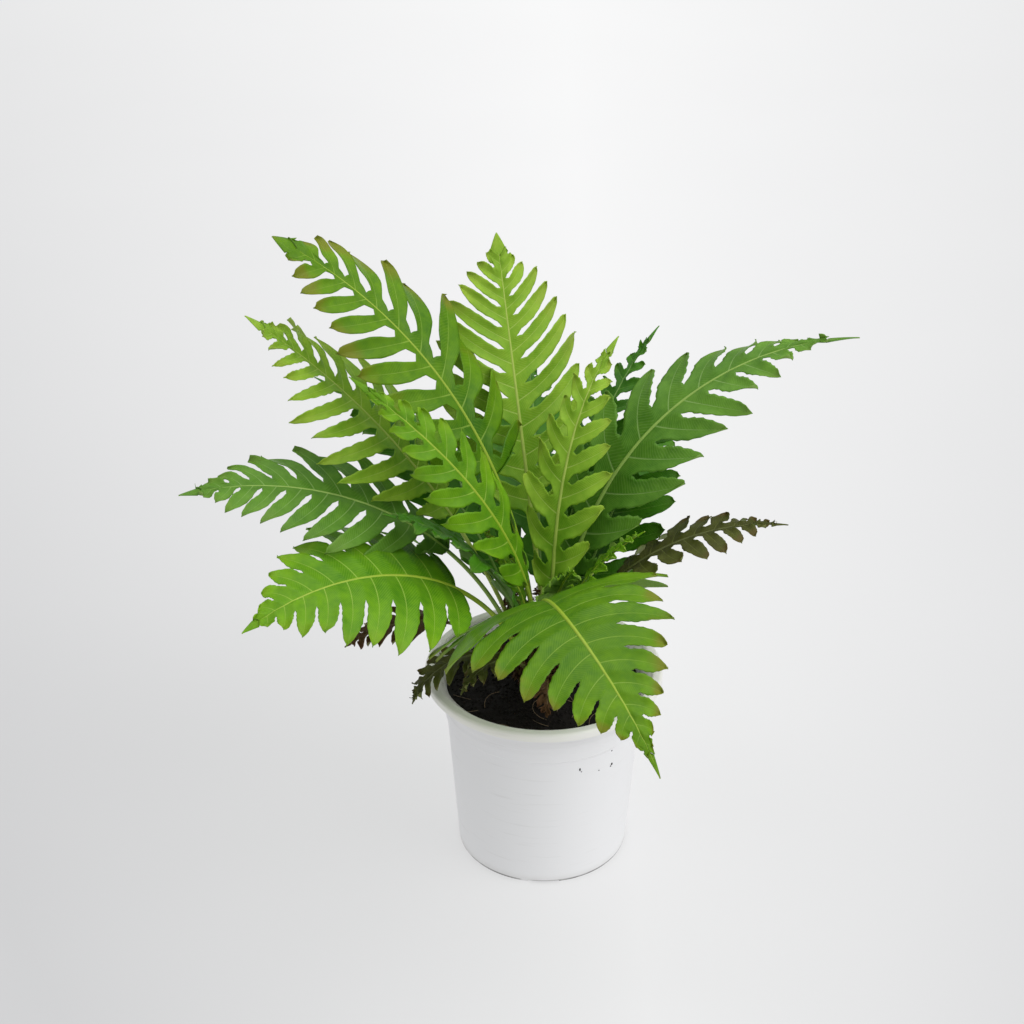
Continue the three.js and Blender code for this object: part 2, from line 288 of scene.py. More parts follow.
# %% Tones of leaves and stalks
TONE_KEYS = ("deep", "light", "vein", "tip", "stalk")
LEAF_TONES = {
    "fresh": ((66, 124, 4), (126, 178, 16), (178, 208, 92), (142, 166, 40), (168, 196, 52)),
    "pale": ((98, 150, 16), (160, 196, 58), (192, 214, 112), (146, 156, 54), (184, 206, 92)),
    "green": ((54, 106, 2), (114, 158, 10), (156, 188, 78), (124, 122, 34), (164, 190, 52)),
    "bluish": ((58, 108, 16), (110, 158, 50), (156, 188, 112), (128, 156, 68), (156, 190, 88)),
    "dark": ((32, 84, 2), (74, 134, 16), (112, 158, 60), (92, 128, 34), (104, 146, 52)),
    "olive": ((46, 46, 14), (92, 100, 34), (124, 132, 68), (94, 70, 36), (98, 98, 52)),
    "brown": ((56, 36, 22), (108, 78, 48), (128, 102, 66), (84, 52, 34), (104, 76, 48)),
}
# How much the tips have turned, and how dull the leaf is.
BURN_AND_DULLNESS = {"fresh": (0.25, 0.46), "pale": (0.35, 0.48), "green": (0.75, 0.44),
                     "bluish": (0.35, 0.46), "dark": (0.3, 0.42), "olive": (0.6, 0.52),
                     "brown": (0.7, 0.65)}
print("leaf tones:", len(LEAF_TONES))

# %% Values of the blade finishes
VEIN_WIDTH = 0.055
VEIN_SHARE = 0.6
VEIN_FADE = 0.15
VEINLETS = 26.0
VEINLET_SLOPE = 4.5
VEINLET_SHARE = 0.13
PATCHES = 28
BLOTCHES = 42
MOTTLES = 160
PORES = 420
LOBE_STEP = 1.37
UNDER_TONE = colour(150, 176, 104)
UNDER_SHARE = 0.3
UNDER_DULLNESS = 0.2
BLADE_SPECULAR = 0.2
BLADE_BUMP = 0.45
BLADE_RELIEF = 0.4 * MM
print("veinlets on a lobe:", VEINLETS)


# %% Blade finish
def blade_finish(name, tones, burn, dull, underside):
    finish, tree, shader = new_finish(name)
    uv_map = made(tree, "UVMap", {"uv_map": "UVMap"})
    split = add_node(tree, "SeparateXYZ", Vector=uv_map)
    across = (out(split, "X") * 2.0 - 1.0).then("ABSOLUTE")
    outward = out(split, "Y")
    free = attribute(tree, "free")
    along = attribute(tree, "along")
    vein = 1.0 - smooth(across / (VEIN_WIDTH * (1.5 - outward)))
    wave = (outward * VEINLETS + across * VEINLET_SLOPE) * FULL_TURN
    veinlet = ((wave.then("SINE") * 0.5 + 0.5) ** 4.0) * (1.0 - vein)
    chance = add_node(tree, "TexWhiteNoise", {"noise_dimensions": "1D"},
                      W=attribute(tree, "lobe") * LOBE_STEP)
    own = (out(chance, "Value") - 0.5) * smooth(free * 2.0)
    mottle = cloud(tree, MOTTLES, 5, 0.6)
    lightness = clamp(cloud(tree, PATCHES) * 0.9 + along * 0.35 + free * 0.25 - 0.28
                      + (mottle - 0.5) * 0.9 + own * 0.45)
    turned = smooth((free * 1.2 + along * 0.45 + cloud(tree, BLOTCHES) * 1.3 - 1.6) * 2.2)
    coats = [(lightness, tones["light"]), (turned * burn, tones["tip"]),
             (veinlet * VEINLET_SHARE, tones["vein"]),
             (vein * (VEIN_SHARE - outward * VEIN_FADE), tones["vein"])]
    if underside:
        coats.append((UNDER_SHARE, UNDER_TONE))
    duller = dull - 0.08 + (UNDER_DULLNESS if underside else 0.0)
    raised = (vein * (1.0 if underside else -0.8) + veinlet * 0.25 + mottle * 0.35
              + cloud(tree, PORES) * 0.2)
    dress(shader, paint(tree, tones["deep"], *coats), clamp(mottle * 0.16 + duller), raised,
          BLADE_BUMP, BLADE_RELIEF, BLADE_SPECULAR)
    return finish


palette = {tone: {key: colour(*value) for key, value in zip(TONE_KEYS, row)}
           for tone, row in LEAF_TONES.items()}
blades = {}
for tone, tones in palette.items():
    for ending in ("", "_under"):
        blades[tone + ending] = blade_finish(f"blade_{tone}{ending}", tones,
                                             *BURN_AND_DULLNESS[tone], ending == "_under")
print("blade finishes:", len(blades))

# %% [markdown]
# ## Finish of stalks and midribs
# The stalk is woody and brown where it leaves the crown, green further up, and
# the midrib it turns into is paler than the blade. ALONG goes from 0 at the
# crown to 1 at the tip, so one finish covers the whole length. Its faint
# lengthwise grooves are streaks of noise.

# %% Stalk finish
STREAKS = 240
STREAK_TONE = colour(84, 116, 38)
WOODY_TONE = colour(72, 50, 28)
WOODY_SHARE = 0.85


def stalk_finish(name, tone):
    finish, tree, shader = new_finish(name)
    along = attribute(tree, "along")
    streaks = cloud(tree, STREAKS, 3)
    browned = 1.0 - smooth((along - 0.04 + (cloud(tree, 60) - 0.5) * 0.12) * 6.5)
    skin = paint(tree, tone, (streaks * 0.35, STREAK_TONE), (browned * WOODY_SHARE, WOODY_TONE))
    dress(shader, skin, streaks * 0.2 + 0.36, streaks + cloud(tree, 900), 0.4, 0.15 * MM)
    return finish


stalks = {tone: stalk_finish(f"stalk_{tone}", tones["stalk"]) for tone, tones in palette.items()}
print("stalk finishes:", len(stalks))

# %% [markdown]
# ## The rule of a frond
# A frond is a bare stalk that runs on as the midrib of a blade. The blade is cut
# into lobes that crowd together towards the end, lean forward, and leave a
# strip of uncut web along the midrib. Past the last lobe it runs out to a plain
# point. The numbers of this rule are shared by every frond.

# %% Values that all fronds share
SPACING = 0.35
LOBED_SHARE = 0.92
PEAK = 0.3
EDGE_MARGIN = 1.2 * MM
KEEL = 0.12
DROOP = 0.25
BLADE_THICKNESS = 0.42 * MM
WEB_CLOSES = 0.85
SLIM_FROM = 0.7
SLIMMING = 0.55
WEB_ROWS = 0.3
ACROSS_FACES = 10
ALONG_FACES = 24
PATH_STEPS = 90
RIB_SIDES = 10
RIB_TAPER = 1.5
STALK_RADIUS = 1.5 * MM
TIP_RIB = 0.35 * MM
MERGE = 0.03 * MM
print("faces on a lobe:", ACROSS_FACES * ALONG_FACES)

# %% Values of a lobe's edge and surface
SIDE_STEP = 50.0
PHASE_SEED = 7.0
LENGTH_SPREAD = 0.16
NECK_END = 0.55
CUT_END = 0.12
TEETH = 34.0
TEETH_SHIFT = 6.0
RIPPLES = 7.0
RIPPLE_SHIFT = 6.28
RIPPLE_LEAN = 1.4
FOLD_POWER = 1.6
SAG_MIDDLE = 0.35
TIP_POWER = 0.9
TIP_FREE = 0.6
print("teeth on a lobe's edge:", round(TEETH / FULL_TURN, 1))

# %% [markdown]
# ## The frond tree
# The tree gets the midrib as a line of points, each with a sideways and an
# upward direction. It lays a small grid for every lobe on each side, works out
# where each grid point falls on the blade, and sets it there. Neighbouring
# grids share the web, where they are merged into one skin. A lobe's grid
# narrows past the web, so the gaps between lobes are real edges. The finished
# skin is extruded to a leaf's thickness, with its own finish underneath, and a
# tapered tube makes the stalk and midrib.


# %% Keeping values on the points
def keep(tree, geometry, name, value, kind="FLOAT", domain="POINT"):
    """Stores a value on the geometry under a name."""
    return made(tree, "StoreNamedAttribute", {"data_type": kind, "domain": domain},
                Geometry=geometry, Name=name, Value=value)


def kept(tree, name, kind="FLOAT"):
    node = add_node(tree, "InputNamedAttribute", {"data_type": kind}, Name=name)
    return Number(node.outputs["Attribute"])


def random_share(tree, identity, seed):
    return out(add_node(tree, "RandomValue", ID=identity, Seed=seed))


print("values can be kept")


# %% Sampling the midrib, and vectors
def sampled(tree, midrib, factor, name=None):
    """The midrib's point and direction at a factor, or one of its attributes."""
    node = add_node(tree, "SampleCurve", {"data_type": "FLOAT_VECTOR", "mode": "FACTOR"},
                    Curves=midrib, Factor=factor)
    if name is None:
        return node.outputs["Position"], node.outputs["Tangent"]
    feed(kept(tree, name, "FLOAT_VECTOR"), node.inputs["Value"])
    return node.outputs["Value"]


def scaled(tree, vector, factor):
    return made(tree, "VectorMath", {"operation": "SCALE"}, Vector=vector, Scale=factor)


def total(tree, result, *vectors):
    for vector in vectors:
        node = add_node(tree, "VectorMath")
        feed(result, node.inputs[0])
        feed(vector, node.inputs[1])
        result = node.outputs[0]
    return result


def joined(tree, *geometries):
    node = add_node(tree, "JoinGeometry")
    for geometry in geometries:
        feed(geometry, node.inputs[0])
    return node.outputs[0]


print("the midrib can be sampled")


# %% One set of grids, a grid for each lobe
def lobe_grids(tree, count):
    """COUNT grids at the origin, with U across (-1 to 1) and ROW along (0 to 1)."""
    grid = made(tree, "MeshGrid", Size_X=1.0, Size_Y=1.0,
                Vertices_X=ACROSS_FACES + 1, Vertices_Y=ALONG_FACES + 1)
    line = made(tree, "MeshLine", Count=count, Offset=(0.0, 0.0, 0.0))
    numbered = keep(tree, line, "lobe", out(add_node(tree, "InputIndex")))
    copies = made(tree, "InstanceOnPoints", Points=numbered, Instance=grid)
    real = made(tree, "RealizeInstances", Geometry=copies)
    split = add_node(tree, "SeparateXYZ", Vector=made(tree, "InputPosition"))
    return real, out(split, "X") * 2.0, out(split, "Y") + 0.5


def half_width(sizes, blade):
    """Half width of the blade at a share of its length."""
    opening = blend(sizes.base, 1.0, smooth(blade / PEAK))
    slim = 1.0 - smooth((blade - SLIM_FROM) / (1.0 - SLIM_FROM)) * SLIMMING
    narrowing = ((1.0 - blade * blade) ** sizes.taper) * slim
    return sizes.width * opening * narrowing + EDGE_MARGIN * (1.0 - blade)


def arched(half, reach):
    """How far the blade rises beside the midrib and then droops."""
    return half * (KEEL * reach - DROOP * reach * reach)


def note_place(tree, geometry, across, **values):
    """Keeps what the setting out needs on each point, and the UV map."""
    for name, value in values.items():
        geometry = keep(tree, geometry, name, value)
    spot = made(tree, "CombineXYZ", X=across * 0.5 + 0.5, Y=values["reach"])
    return keep(tree, geometry, "UVMap", spot, "FLOAT2", "CORNER")


print("grid points on a lobe:", (ACROSS_FACES + 1) * (ALONG_FACES + 1))


# %% Lobes of one side
def lobes(tree, sizes, side):
    """SIDE is 1 on the left of the growth, and -1 on the right, half a lobe further on."""
    geometry, across, row = lobe_grids(tree, sizes.lobes + (0.0 if side == 1 else 1.0))
    lobe = kept(tree, "lobe")
    chance = random_share(tree, lobe + side * SIDE_STEP, sizes.seed)
    phase = random_share(tree, lobe + side * SIDE_STEP, sizes.seed + PHASE_SEED)
    middle = (lobe + (0.5 if side == 1 else 0.0)) / sizes.lobes
    pitch = 1.0 / sizes.lobes
    wide = clamp(middle + across * pitch * 0.5)
    web = blend(sizes.web, 1.0, smooth((wide - WEB_CLOSES) / (1.0 - WEB_CLOSES)))
    free = clamp((row - WEB_ROWS) / (1.0 - WEB_ROWS))
    reach = web * clamp(row / WEB_ROWS) + (1.0 - web) * free
    reach = reach * (1.0 + (chance - 0.5) * free * LENGTH_SPREAD)
    belly = sizes.fill * blend(sizes.neck, 1.0, smooth(free / NECK_END))
    body = 1.0 + (belly - 1.0) * smooth(free / CUT_END)
    teeth = (free * TEETH + phase * TEETH_SHIFT).then("SINE") * sizes.crenation
    teeth = 1.0 + teeth * smooth(free * 4.0)
    narrow = body * ((1.0 - free ** sizes.bluntness) ** sizes.point) * teeth
    tau = clamp(middle + across * narrow * pitch * 0.5)
    blade = LOBED_SHARE * (tau + SPACING * tau * (1.0 - tau))
    half = half_width(sizes, blade)
    ripple = (free * RIPPLES + phase * RIPPLE_SHIFT + across * RIPPLE_LEAN).then("SINE")
    ripple = ripple * smooth(free * 2.5) * across * across
    fold = (across.then("ABSOLUTE") ** FOLD_POWER) * smooth(reach * 6.0) * sizes.fold
    tilt = across * free * (chance - 0.5) * sizes.twist
    sag = free * free * (phase - SAG_MIDDLE) * half * sizes.curl
    lift = arched(half, reach) + fold + ripple * sizes.wave + tilt - sag
    return note_place(tree, geometry, across, side_sign=float(side), blade=blade, reach=reach,
                      half=half, lift=lift, free=free)


def plain_tip(tree, sizes):
    """The strip past the last lobe, which narrows to a long point."""
    geometry, across, row = lobe_grids(tree, 1)
    last = out(add_node(tree, "Value"))
    last.socket.default_value = LOBED_SHARE
    half = half_width(sizes, last) * ((1.0 - row) ** TIP_POWER)
    reach = across.then("ABSOLUTE")
    return note_place(tree, geometry, reach * 2.0 - 1.0, side_sign=across.then("SIGN"),
                      blade=blend(last, 1.0, row), reach=reach, half=half,
                      lift=arched(half, reach), free=row * TIP_FREE)


print("lobes lean forward and crowd to the tip by", SPACING)


# %% Setting the grids out along the midrib
def set_out(tree, geometry, midrib, sizes):
    blade = kept(tree, "blade")
    half = kept(tree, "half")
    factor = (sizes.stalk + blade * (sizes.length - sizes.stalk)) / sizes.length
    point, tangent = sampled(tree, midrib, factor)
    sideways = sampled(tree, midrib, factor, "side")
    upward = sampled(tree, midrib, factor, "normal")
    lean = sizes.angle * (1.0 - sizes.lean_loss * blade)
    start = lean + sizes.sweep * 0.5
    end = start - sizes.sweep * kept(tree, "reach")
    out_share = (end.then("COSINE") - start.then("COSINE")) / sizes.sweep
    forward_share = (start.then("SINE") - end.then("SINE")) / sizes.sweep
    goal = total(tree, point, scaled(tree, sideways, kept(tree, "side_sign") * half * out_share),
                 scaled(tree, tangent, half * forward_share),
                 scaled(tree, upward, kept(tree, "lift")))
    moved = made(tree, "SetPosition", Geometry=geometry, Position=goal)
    return keep(tree, moved, "along", blade)


def thicken(tree, skin, sizes):
    """Extrudes the skin upwards and closes it with a turned copy of itself."""
    raised = made(tree, "ExtrudeMesh", {"mode": "FACES"}, Mesh=skin,
                  Offset_Scale=BLADE_THICKNESS, Individual=False)
    upper = made(tree, "SetMaterial", Geometry=raised, Material=sizes.leaf)
    turned = made(tree, "FlipFaces", Mesh=skin)
    under = made(tree, "SetMaterial", Geometry=turned, Material=sizes.underside)
    return made(tree, "MergeByDistance", Geometry=joined(tree, under, upper),
                Distance=MERGE)


def stalk_tube(tree, midrib, sizes):
    place_along = out(add_node(tree, "SplineParameter"), "Factor")
    section = made(tree, "CurvePrimitiveCircle", Resolution=RIB_SIDES, Radius=1.0)
    tube = made(tree, "CurveToMesh", Curve=keep(tree, midrib, "along", place_along),
                Profile_Curve=section, Scale=blend(sizes.rib, TIP_RIB, place_along ** RIB_TAPER),
                Fill_Caps=True)
    return made(tree, "SetMaterial", Geometry=tube, Material=sizes.stalk_finish)


print("blade thickness mm:", round(BLADE_THICKNESS / MM, 2))

# %% Putting the frond tree together
SIZE_UNITS = dict(stalk=MM, length=MM, lobes=1, width=MM, base=1, taper=1, web=1, angle=DEGREE,
                  lean_loss=1, sweep=DEGREE, fill=1, neck=1, bluntness=1, point=1, crenation=1,
                  fold=MM, wave=MM, twist=MM, curl=1, rib=STALK_RADIUS, seed=1)
FINISH_KEYS = ("leaf", "underside", "stalk_finish")


def label(key):
    """The name of the tree's input for a value."""
    return key.replace("_", " ").title()


def frond_tree():
    inputs = {label(key): "Float" for key in SIZE_UNITS}
    inputs.update({label(key): "Material" for key in FINISH_KEYS})
    tree, entries = new_tree("fern_frond", inputs)
    sizes = SimpleNamespace(**{key: Number(entries[label(key)])
                               for key in (*SIZE_UNITS, *FINISH_KEYS)})
    midrib = made(tree, "MeshToCurve", Mesh=entries["Geometry"])
    turned_tip = made(tree, "FlipFaces", Mesh=plain_tip(tree, sizes))
    turned = made(tree, "FlipFaces", Mesh=lobes(tree, sizes, -1))
    flat = joined(tree, turned_tip, turned, lobes(tree, sizes, 1))
    skin = made(tree, "MergeByDistance",
                Geometry=set_out(tree, flat, midrib, sizes), Distance=MERGE)
    whole = joined(tree, thicken(tree, skin, sizes), stalk_tube(tree, midrib, sizes))
    end_tree(tree, made(tree, "SetShadeSmooth", Geometry=whole))
    return tree


fern_frond = frond_tree()
print("frond tree nodes:", len(fern_frond.nodes))

# %% [markdown]
# ## The fronds, one row each
# Each row is one frond: where it is seated on the crown, the way it heads and
# climbs, and the shape of its blade. They are the same values as in the packed
# model, so each blade grows in the space that its node holds. Angles run from
# the right (+X) towards the back (+Y). SEAT is the ring as a share of the
# crown's radius and the angle round the pot, TURN swings the heading along the
# way, and RISE and FALL are the first and last slope.

# %% Frond rows
FROND_KEYS = ("seat", "heading", "turn", "length", "rise", "fall", "ease", "stalk", "lobes",
              "width", "base", "taper", "web", "angle", "roll")
FRONDS = {
    "frond_high_left": ((0.35, 150), 142, 52, 332, 88, 33, 1, 128, 10, 60, 0.6, 0.7, 0.15, 66, -24),
    "frond_inner_left": ((0.35, 240), 232, -62, 250, 86, 36, 1, 66, 9, 36, 0.5, 1, 0.28, 58, -50),
    "frond_mid_left": ((0.6, 166), 157, 43, 295, 69, 41, 1, 110, 11, 64, 0.3, 1, 0.2, 68, -21),
    "frond_low_left": ((0.76, 188), 185, 10, 278, 79, -8, 1, 104, 10, 62, 0.25, 1.1, 0.3, 62, -13),
    "frond_front_left": ((0.76, 214), 212, 5, 250, 77, -22, 1, 98, 9, 64, 0.75, 1.2, 0.5, 78, -17),
    "frond_front": ((0.6, 266), 256, 60, 262, 88, -61, 1, 70, 11, 74, 1, 1.4, 0.5, 94, 15),
    "frond_top": ((0.35, 60), 112, -4, 268, 72, 66, 1, 92, 11, 66, 0.45, 0.9, 0.25, 62, 0),
    "frond_inner_right": ((0.35, 320), 70, -20, 222, 90, 30, 2, 50, 9, 38, 0.4, 0.9, 0.25, 60, 0),
    "frond_back_right": ((0.6, 62), 68, -18, 232, 84, 26, 1, 66, 9, 36, 0.4, 1.2, 0.25, 62, 0),
    "frond_high_right": ((0.6, 10), 50, -66, 308, 90, 8, 1, 62, 10, 64, 0.35, 1.4, 0.4, 58, 15),
    "frond_mid_right": ((0.76, 42), 46, 0, 190, 68, 44, 1, 38, 8, 48, 0.4, 0.8, 0.2, 66, 0),
    "frond_low_right": ((0.76, 348), 354, 10, 192, 84, -8, 1, 80, 8, 30, 0.7, 1.2, 0.2, 72, 0),
    "frond_back_left": ((0.76, 152), 138, 24, 235, 76, 20, 1, 62, 9, 42, 0.4, 1.1, 0.25, 64, 0),
    "frond_low_inner": ((0.6, 222), 209, 0, 180, 85, 24, 1, 50, 7, 40, 0.6, 1, 0.5, 62, 0),
    "frond_rear": ((0.6, 96), 92, 0, 255, 66, -12, 1, 50, 10, 46, 0.5, 1.2, 0.3, 62, 0),
    "frond_rear_right": ((0.76, 70), 64, 0, 245, 62, -22, 1, 50, 10, 44, 0.5, 1.2, 0.3, 62, 0),
    "frond_rear_left": ((0.76, 118), 122, 0, 250, 64, -16, 1, 50, 10, 44, 0.5, 1.2, 0.3, 62, 0),
    "young_frond_front": ((0.35, 288), 288, 0, 110, 88, 40, 1, 34, 7, 20, 0.6, 1, 0.35, 60, 0),
    "young_frond_right": ((0.35, 352), 350, 0, 118, 86, 36, 1, 40, 7, 20, 0.6, 1, 0.3, 60, 0),
    "young_frond_left": ((0.35, 186), 168, 0, 100, 88, 52, 1, 40, 7, 18, 0.6, 1, 0.3, 60, 0),
    "old_frond_hanging": ((0.82, 206), 202, 0, 96, 68, -70, 1, 40, 6, 20, 0.6, 1, 0.3, 60, 0),
    "old_frond_inner": ((0.82, 234), 222, 0, 76, 82, -50, 1, 30, 5, 14, 0.6, 1, 0.3, 60, 0),
    "old_frond_left": ((0.88, 196), 194, 0, 138, 74, -34, 1, 70, 7, 24, 0.6, 1, 0.2, 65, 0),
    "old_frond_front": ((0.88, 280), 268, 0, 52, 88, -80, 1, 24, 4, 12, 0.6, 1, 0.3, 60, 0),
}
print("longest frond mm:", max(row[3] for row in FRONDS.values()))

# %% [markdown]
# ### What sets one blade off from another
# The broad front blade has long straight fingers, the high left one has round
# paddles with wide gaps, and the pale inner ones have narrow frilled lobes.
# SWEEP is how far a lobe curves forward, FILL how much of its pitch it fills,
# NECK how far it draws in at its foot, and RIB how stout the midrib is. The
# first line holds what every blade has, and below are the fronds that differ.

# %% Looks of the lobes
LOBE_LOOK = dict(lean_loss=0.35, sweep=22, fill=0.84, neck=0.85, bluntness=3.0, point=0.65,
                 crenation=0.04, fold=1.5, wave=1.0, twist=4.5, curl=0.26, rib=1.0)
OWN_LOOK = {
    "frond_high_left": dict(web=0.1, fill=0.84, neck=0.55, bluntness=4.2, point=0.5, sweep=14,
                            crenation=0.015, twist=4.0, curl=0.3),
    "frond_inner_left": dict(web=0.16, fill=0.86, neck=0.7, bluntness=3.6, point=0.5, twist=4.0),
    "frond_low_inner": dict(fill=0.9, neck=0.8, twist=1.5),
    "frond_mid_left": dict(tone="pale", web=0.1, fill=0.72, neck=0.9, bluntness=3.2, point=0.7,
                           crenation=0.08, wave=1.3),
    "frond_low_left": dict(tone="bluish", web=0.16, fill=0.88, neck=0.86, point=0.6, sweep=34),
    "frond_front_left": dict(web=0.42, fill=0.92, neck=0.95, point=0.7, sweep=30, rib=1.15,
                             twist=2.5, curl=0.15),
    "frond_front": dict(lean_loss=0.62, web=0.43, fill=0.92, neck=0.9, point=0.75, sweep=34,
                        twist=2.0, curl=0.12, rib=1.3),
    "frond_top": dict(tone="pale", web=0.12, fill=0.9, neck=0.8, bluntness=3.6, point=0.6,
                      sweep=24, rib=1.15),
    "frond_inner_right": dict(tone="pale", web=0.14, fill=0.86, neck=0.75, crenation=0.06,
                              wave=1.2, rib=1.1),
    "frond_back_right": dict(web=0.15, fill=0.74, bluntness=2.4),
    "frond_high_right": dict(web=0.26, fill=0.88, neck=0.88, bluntness=2.8, point=0.7, sweep=30,
                             crenation=0.06, rib=1.25),
    "frond_mid_right": dict(fill=0.9, neck=0.65, bluntness=3.4, point=0.55),
    "frond_low_right": dict(fill=0.9, neck=0.6, bluntness=3.6, point=0.5, wave=1.2, twist=2.5,
                            curl=0.5),
}


def frond_look(name):
    """All the values of one frond, its own before the shared ones."""
    return {**dict(zip(FROND_KEYS, FRONDS[name])), **LOBE_LOOK, **OWN_LOOK.get(name, {})}


print("fronds with a look of their own:", len(OWN_LOOK))

# %% [markdown]
# ### The midrib
# A midrib grows in steps: each step goes the way the last one pointed, and the
# slope and heading change a little. So it is made as a line of points, and each
# keeps its sideways and upward direction, rolled about the way of growth.

# %% The midrib of a frond
MIX_DEPTH = 14 * MM
SOCKET_DEPTH = 5 * MM
MIX_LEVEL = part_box("pot")[1].z - MIX_DEPTH


def crown_height(radius):
    """Height of the crown's dome at a distance from its middle."""
    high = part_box("crown")[1]
    share = math.sqrt(max(0.0, 1.0 - (radius / high.x) ** 2))
    return MIX_LEVEL + (high.z - MIX_LEVEL) * share


def midrib_mesh(name, look):
    """The midrib as a line, with its sideways and upward directions on the points."""
    ring, angle = look["seat"]
    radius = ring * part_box("crown")[1].x
    point = around(radius, math.radians(angle), crown_height(radius) - SOCKET_DEPTH)
    points, sides, normals = [], [], []
    step = look["length"] * MM / PATH_STEPS
    roll = math.radians(look["roll"])
    for i in range(PATH_STEPS + 1):
        share = i / PATH_STEPS
        slope = look["rise"] + (look["fall"] - look["rise"]) * share ** look["ease"]
        pitch = math.radians(slope)
        heading = math.radians(look["heading"] + look["turn"] * share)
        tangent = around(math.cos(pitch), heading, math.sin(pitch))
        level = Vector((-math.sin(heading), math.cos(heading), 0.0))
        side = level * math.cos(roll) + tangent.cross(level) * math.sin(roll)
        points.append(tuple(point))
        sides.extend(side)
        normals.extend(tangent.cross(side))
        point = point + tangent * step
    mesh = bpy.data.meshes.new(name)
    mesh.from_pydata(points, [(i, i + 1) for i in range(PATH_STEPS)], [])
    for label_name, values in (("side", sides), ("normal", normals)):
        kept_values = mesh.attributes.new(label_name, "FLOAT_VECTOR", "POINT")
        kept_values.data.foreach_set("vector", values)
    return mesh


print("mix level mm:", round(MIX_LEVEL / MM, 1))

# %% Growing the fronds
SEED_STEP = 11


def grow(name, seed):
    look = {**frond_look(name), "seed": seed}
    tone = look.get("tone", slots[name].removeprefix("frond_"))
    values = {label(key): float(look[key] * unit) for key, unit in SIZE_UNITS.items()}
    values.update({"Leaf": blades[tone], "Underside": blades[tone + "_under"],
                   "Stalk Finish": stalks[tone]})
    midrib = midrib_mesh(name + "_midrib", look)
    piece = run_tree(fern_frond, midrib, name + "_grown", values)
    hand_over(piece, slots[name], name)
    piece.data.calc_loop_triangles()
    return len(piece.data.loop_triangles)


triangles = [grow(name, SEED_STEP * index) for index, name in enumerate(FRONDS)]
print("fronds:", len(triangles), "triangles:", sum(triangles))

# %% [markdown]
# ## The pot
# A nursery pot is injection moulded in thin white plastic. Its wall leans out
# a little, steps out into a collar that lets pots be pulled apart, and folds
# over into a rim that is hollow underneath. A turned outline gives all of that
# at once, and a Boolean then drills the drain holes and cuts the foot notches,
# as the mould's pins and steps do.

# %% Sizes of the pot
pot_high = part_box("pot")[1]
POT_HEIGHT = pot_high.z
RIM_RADIUS = pot_high.x
BASE_RADIUS = 54.7 * MM
WALL = 1.2 * MM
FLOOR_THICKNESS = 2 * MM
RIM_WIDTH = 7 * MM
RIM_DROP = 5.5 * MM
RIM_ROUND = 2.2 * MM
COLLAR_HEIGHT = 24 * MM
COLLAR_STEP = 1.2 * MM
COLLAR_FLARE = 5.2 * MM
FOOT_ROUND = 2.2 * MM
POT_SEGMENTS = 160
RIM_INNER = RIM_RADIUS - RIM_WIDTH
COLLAR_RADIUS = RIM_INNER - COLLAR_FLARE
BODY_RADIUS = COLLAR_RADIUS - COLLAR_STEP
SKIRT_BOTTOM = POT_HEIGHT - RIM_DROP
COLLAR_BOTTOM = SKIRT_BOTTOM - COLLAR_HEIGHT
FLARE_BOTTOM = SKIRT_BOTTOM - COLLAR_FLARE
print("pot mm:", round(POT_HEIGHT / MM, 1), round(2 * RIM_RADIUS / MM, 1))


# %% Turning an outline
def arc(centre, radius, start, end, steps=6):
    """Points of an arc in the outline's plane, angles in degrees."""
    points = []
    for i in range(steps + 1):
        angle = math.radians(start + (end - start) * i / steps)
        points.append((centre[0] + radius * math.cos(angle), centre[1] + radius * math.sin(angle)))
    return points


def turn(outline, segments):
    """Turns (radius, height) pairs from the axis back to the axis into a closed mesh."""
    shape = bmesh.new()
    rings = []
    for radius, height in outline:
        count = segments if radius >= 1e-7 else 1
        angles = [FULL_TURN * i / segments for i in range(count)]
        rings.append([shape.verts.new(around(radius, angle, height)) for angle in angles])
    for lower, upper in zip(rings, rings[1:]):
        for i in range(segments):
            k = (i + 1) % segments
            corners = dict.fromkeys((lower[i % len(lower)], lower[k % len(lower)],
                                     upper[k % len(upper)], upper[i % len(upper)]))
            if len(corners) > 2:
                shape.faces.new(list(corners))
    bmesh.ops.recalc_face_normals(shape, faces=shape.faces)
    return shape


def finish_mesh(shape, name, smooth_angle):
    mesh = bpy.data.meshes.new(name)
    shape.to_mesh(mesh)
    shape.free()
    mesh.shade_smooth()
    mesh.set_sharp_from_angle(angle=math.radians(smooth_angle))
    return mesh


def shaped(shape, name, smooth_angle, finish=None):
    """The object of a shape, with its finish where it has one."""
    piece = place(name, finish_mesh(shape, name, smooth_angle))
    if finish:
        piece.data.materials.append(finish)
    return piece


print("outlines can be turned")

# %% Outline of the pot
STEP_RISE = 1.6 * MM
MOULD_LINES = (6 * MM, 10.5 * MM)
LINE_DEPTH = 0.18 * MM
LINE_WIDTH = 0.7 * MM
FLARE_KNEE = 0.4 * COLLAR_FLARE


def body_radius(height):
    """Outside radius of the wall at a height below the collar."""
    return BASE_RADIUS + (BODY_RADIUS - BASE_RADIUS) * height / COLLAR_BOTTOM


def mould_line(height):
    """A faint ring that the parting of the mould leaves on the collar."""
    return [(COLLAR_RADIUS, height - LINE_WIDTH), (COLLAR_RADIUS + LINE_DEPTH, height),
            (COLLAR_RADIUS, height + LINE_WIDTH)]


